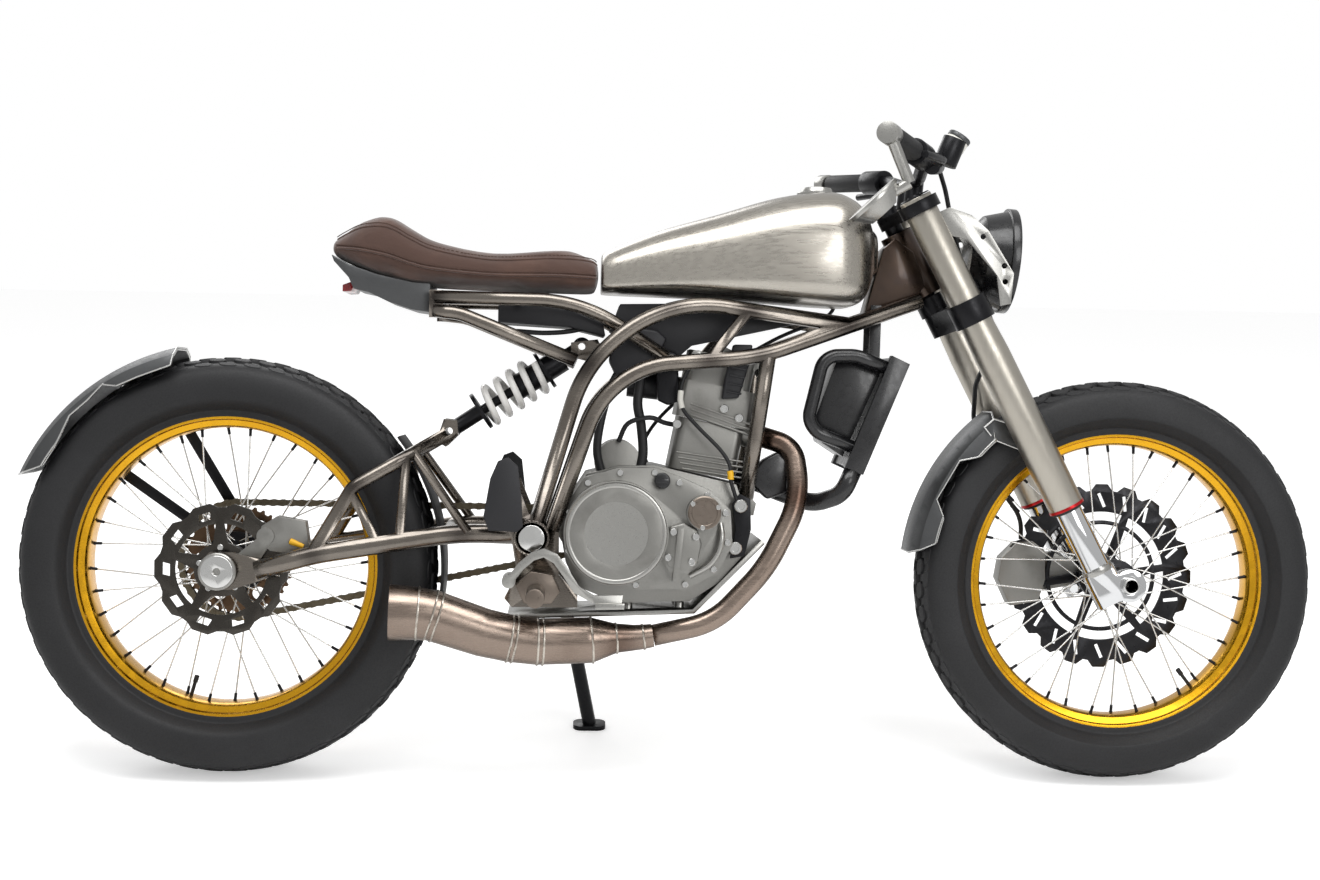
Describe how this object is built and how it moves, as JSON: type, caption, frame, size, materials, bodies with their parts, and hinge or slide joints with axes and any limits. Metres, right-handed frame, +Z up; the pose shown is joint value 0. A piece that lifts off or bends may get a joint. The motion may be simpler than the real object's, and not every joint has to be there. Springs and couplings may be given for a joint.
{
  "type": "cafe racer motorcycle",
  "caption": "Full-size cafe racer motorcycle with tube frame, spoked wheels, chain drive and raised silencer, parked leaning on its side stand.",
  "frame": {"origin": "bottom centre of the parked machine's box, on the ground", "axes": "+X forward, +Y to the rider's left, +Z up; the machine leans to +Y onto its stand"},
  "size_m": [2.162, 0.7874, 1.0993],
  "materials": {
    "tyre": "matte, moulded tread blocks",
    "gold_rim": "gold anodised",
    "black_hub": "satin black",
    "bright_steel": "polished",
    "disc_steel": "ground, darkened",
    "raw_tube": "brushed under clear lacquer",
    "silver_alloy": "satin",
    "cast_alloy": "fine blasted casting",
    "black_metal": "satin black",
    "black_plastic": "moulded",
    "rubber": "matte",
    "tank_silver": "brushed silver under lacquer",
    "suede": "brown suede, stitched",
    "exhaust_metal": "bronze heat tint, bright welds",
    "grey_guard": "satin grey",
    "chain_steel": "oiled links",
    "sprocket_steel": "brown bronze",
    "white_spring": "gloss white",
    "bronze_gusset": "dark bronze tint",
    "lamp_glass": "clear",
    "red_lens": "red, moulded",
    "radiator_black": "satin black"
  },
  "bodies": {
    "frame": {"frame_left": "raw_tube", "frame_right": "raw_tube", "steering_head": "bronze_gusset", "cross_members": "raw_tube", "seat_rails": "raw_tube", "swingarm": "raw_tube", "rear_axle": "bright_steel", "pivot_bolt": "bright_steel", "shock_absorber": "black_metal", "shock_spring": "white_spring", "fuel_tank": "tank_silver", "seat": "suede", "tail_unit": "grey_guard", "tail_lamp": "red_lens", "crankcase": "cast_alloy", "cylinder": "cast_alloy", "cylinder_head": "cast_alloy", "clutch_cover": "cast_alloy", "left_covers": "cast_alloy", "intake": "black_plastic", "radiator": "radiator_black", "coolant_hoses": "rubber", "exhaust_header": "exhaust_metal", "silencer": "exhaust_metal", "skid_plate": "silver_alloy", "footrests": "silver_alloy", "heel_guards": "black_plastic", "foot_levers": "silver_alloy", "rear_mudguard": "grey_guard", "mudguard_struts": "black_metal", "mud_flap": "rubber", "rear_caliper": "silver_alloy", "electrics": "black_plastic", "chain": "chain_steel"},
    "steering": {"fork_outers": "silver_alloy", "fork_legs": "bright_steel", "front_axle": "bright_steel", "yokes": "black_metal", "handlebar": "black_metal", "grips": "rubber", "mirrors": "silver_alloy", "hand_controls": "black_metal", "headlamp_shell": "black_metal", "headlamp_lens": "lamp_glass", "lamp_brackets": "silver_alloy", "front_mudguard": "grey_guard", "front_caliper": "black_metal", "front_brake_hose": "rubber"},
    "front_wheel": {"front_tyre": "tyre", "front_rim": "gold_rim", "front_hub": "black_hub", "front_disc": "black_metal"},
    "rear_wheel": {"rear_tyre": "tyre", "rear_rim": "gold_rim", "rear_hub": "black_hub", "rear_disc": "disc_steel", "rear_sprocket": "sprocket_steel"},
    "side_stand": {"side_stand": "black_metal"}
  },
  "joints": [
    {"name": "steering", "type": "hinge", "parent": "frame", "child": "steering", "pos_m": [0.38867, -0.00986, 0.86344], "axis": [-0.4617, 0.1388, 0.8761], "range_deg": [-30, 30]},
    {"name": "front_wheel_spin", "type": "hinge", "parent": "steering", "child": "front_wheel", "pos_m": [0.745, -0.09376, 0.33374], "axis": [0, 0.9877, -0.1564], "continuous": true},
    {"name": "rear_wheel_spin", "type": "hinge", "parent": "frame", "child": "rear_wheel", "pos_m": [-0.737, -0.09251, 0.34164], "axis": [0, 0.9877, -0.1564], "continuous": true},
    {"name": "side_stand_fold", "type": "hinge", "parent": "frame", "child": "side_stand", "pos_m": [-0.177, 0.01516, 0.24157], "axis": [0, 0.9455, 0.3256], "range_deg": [0, 100]}
  ]
}
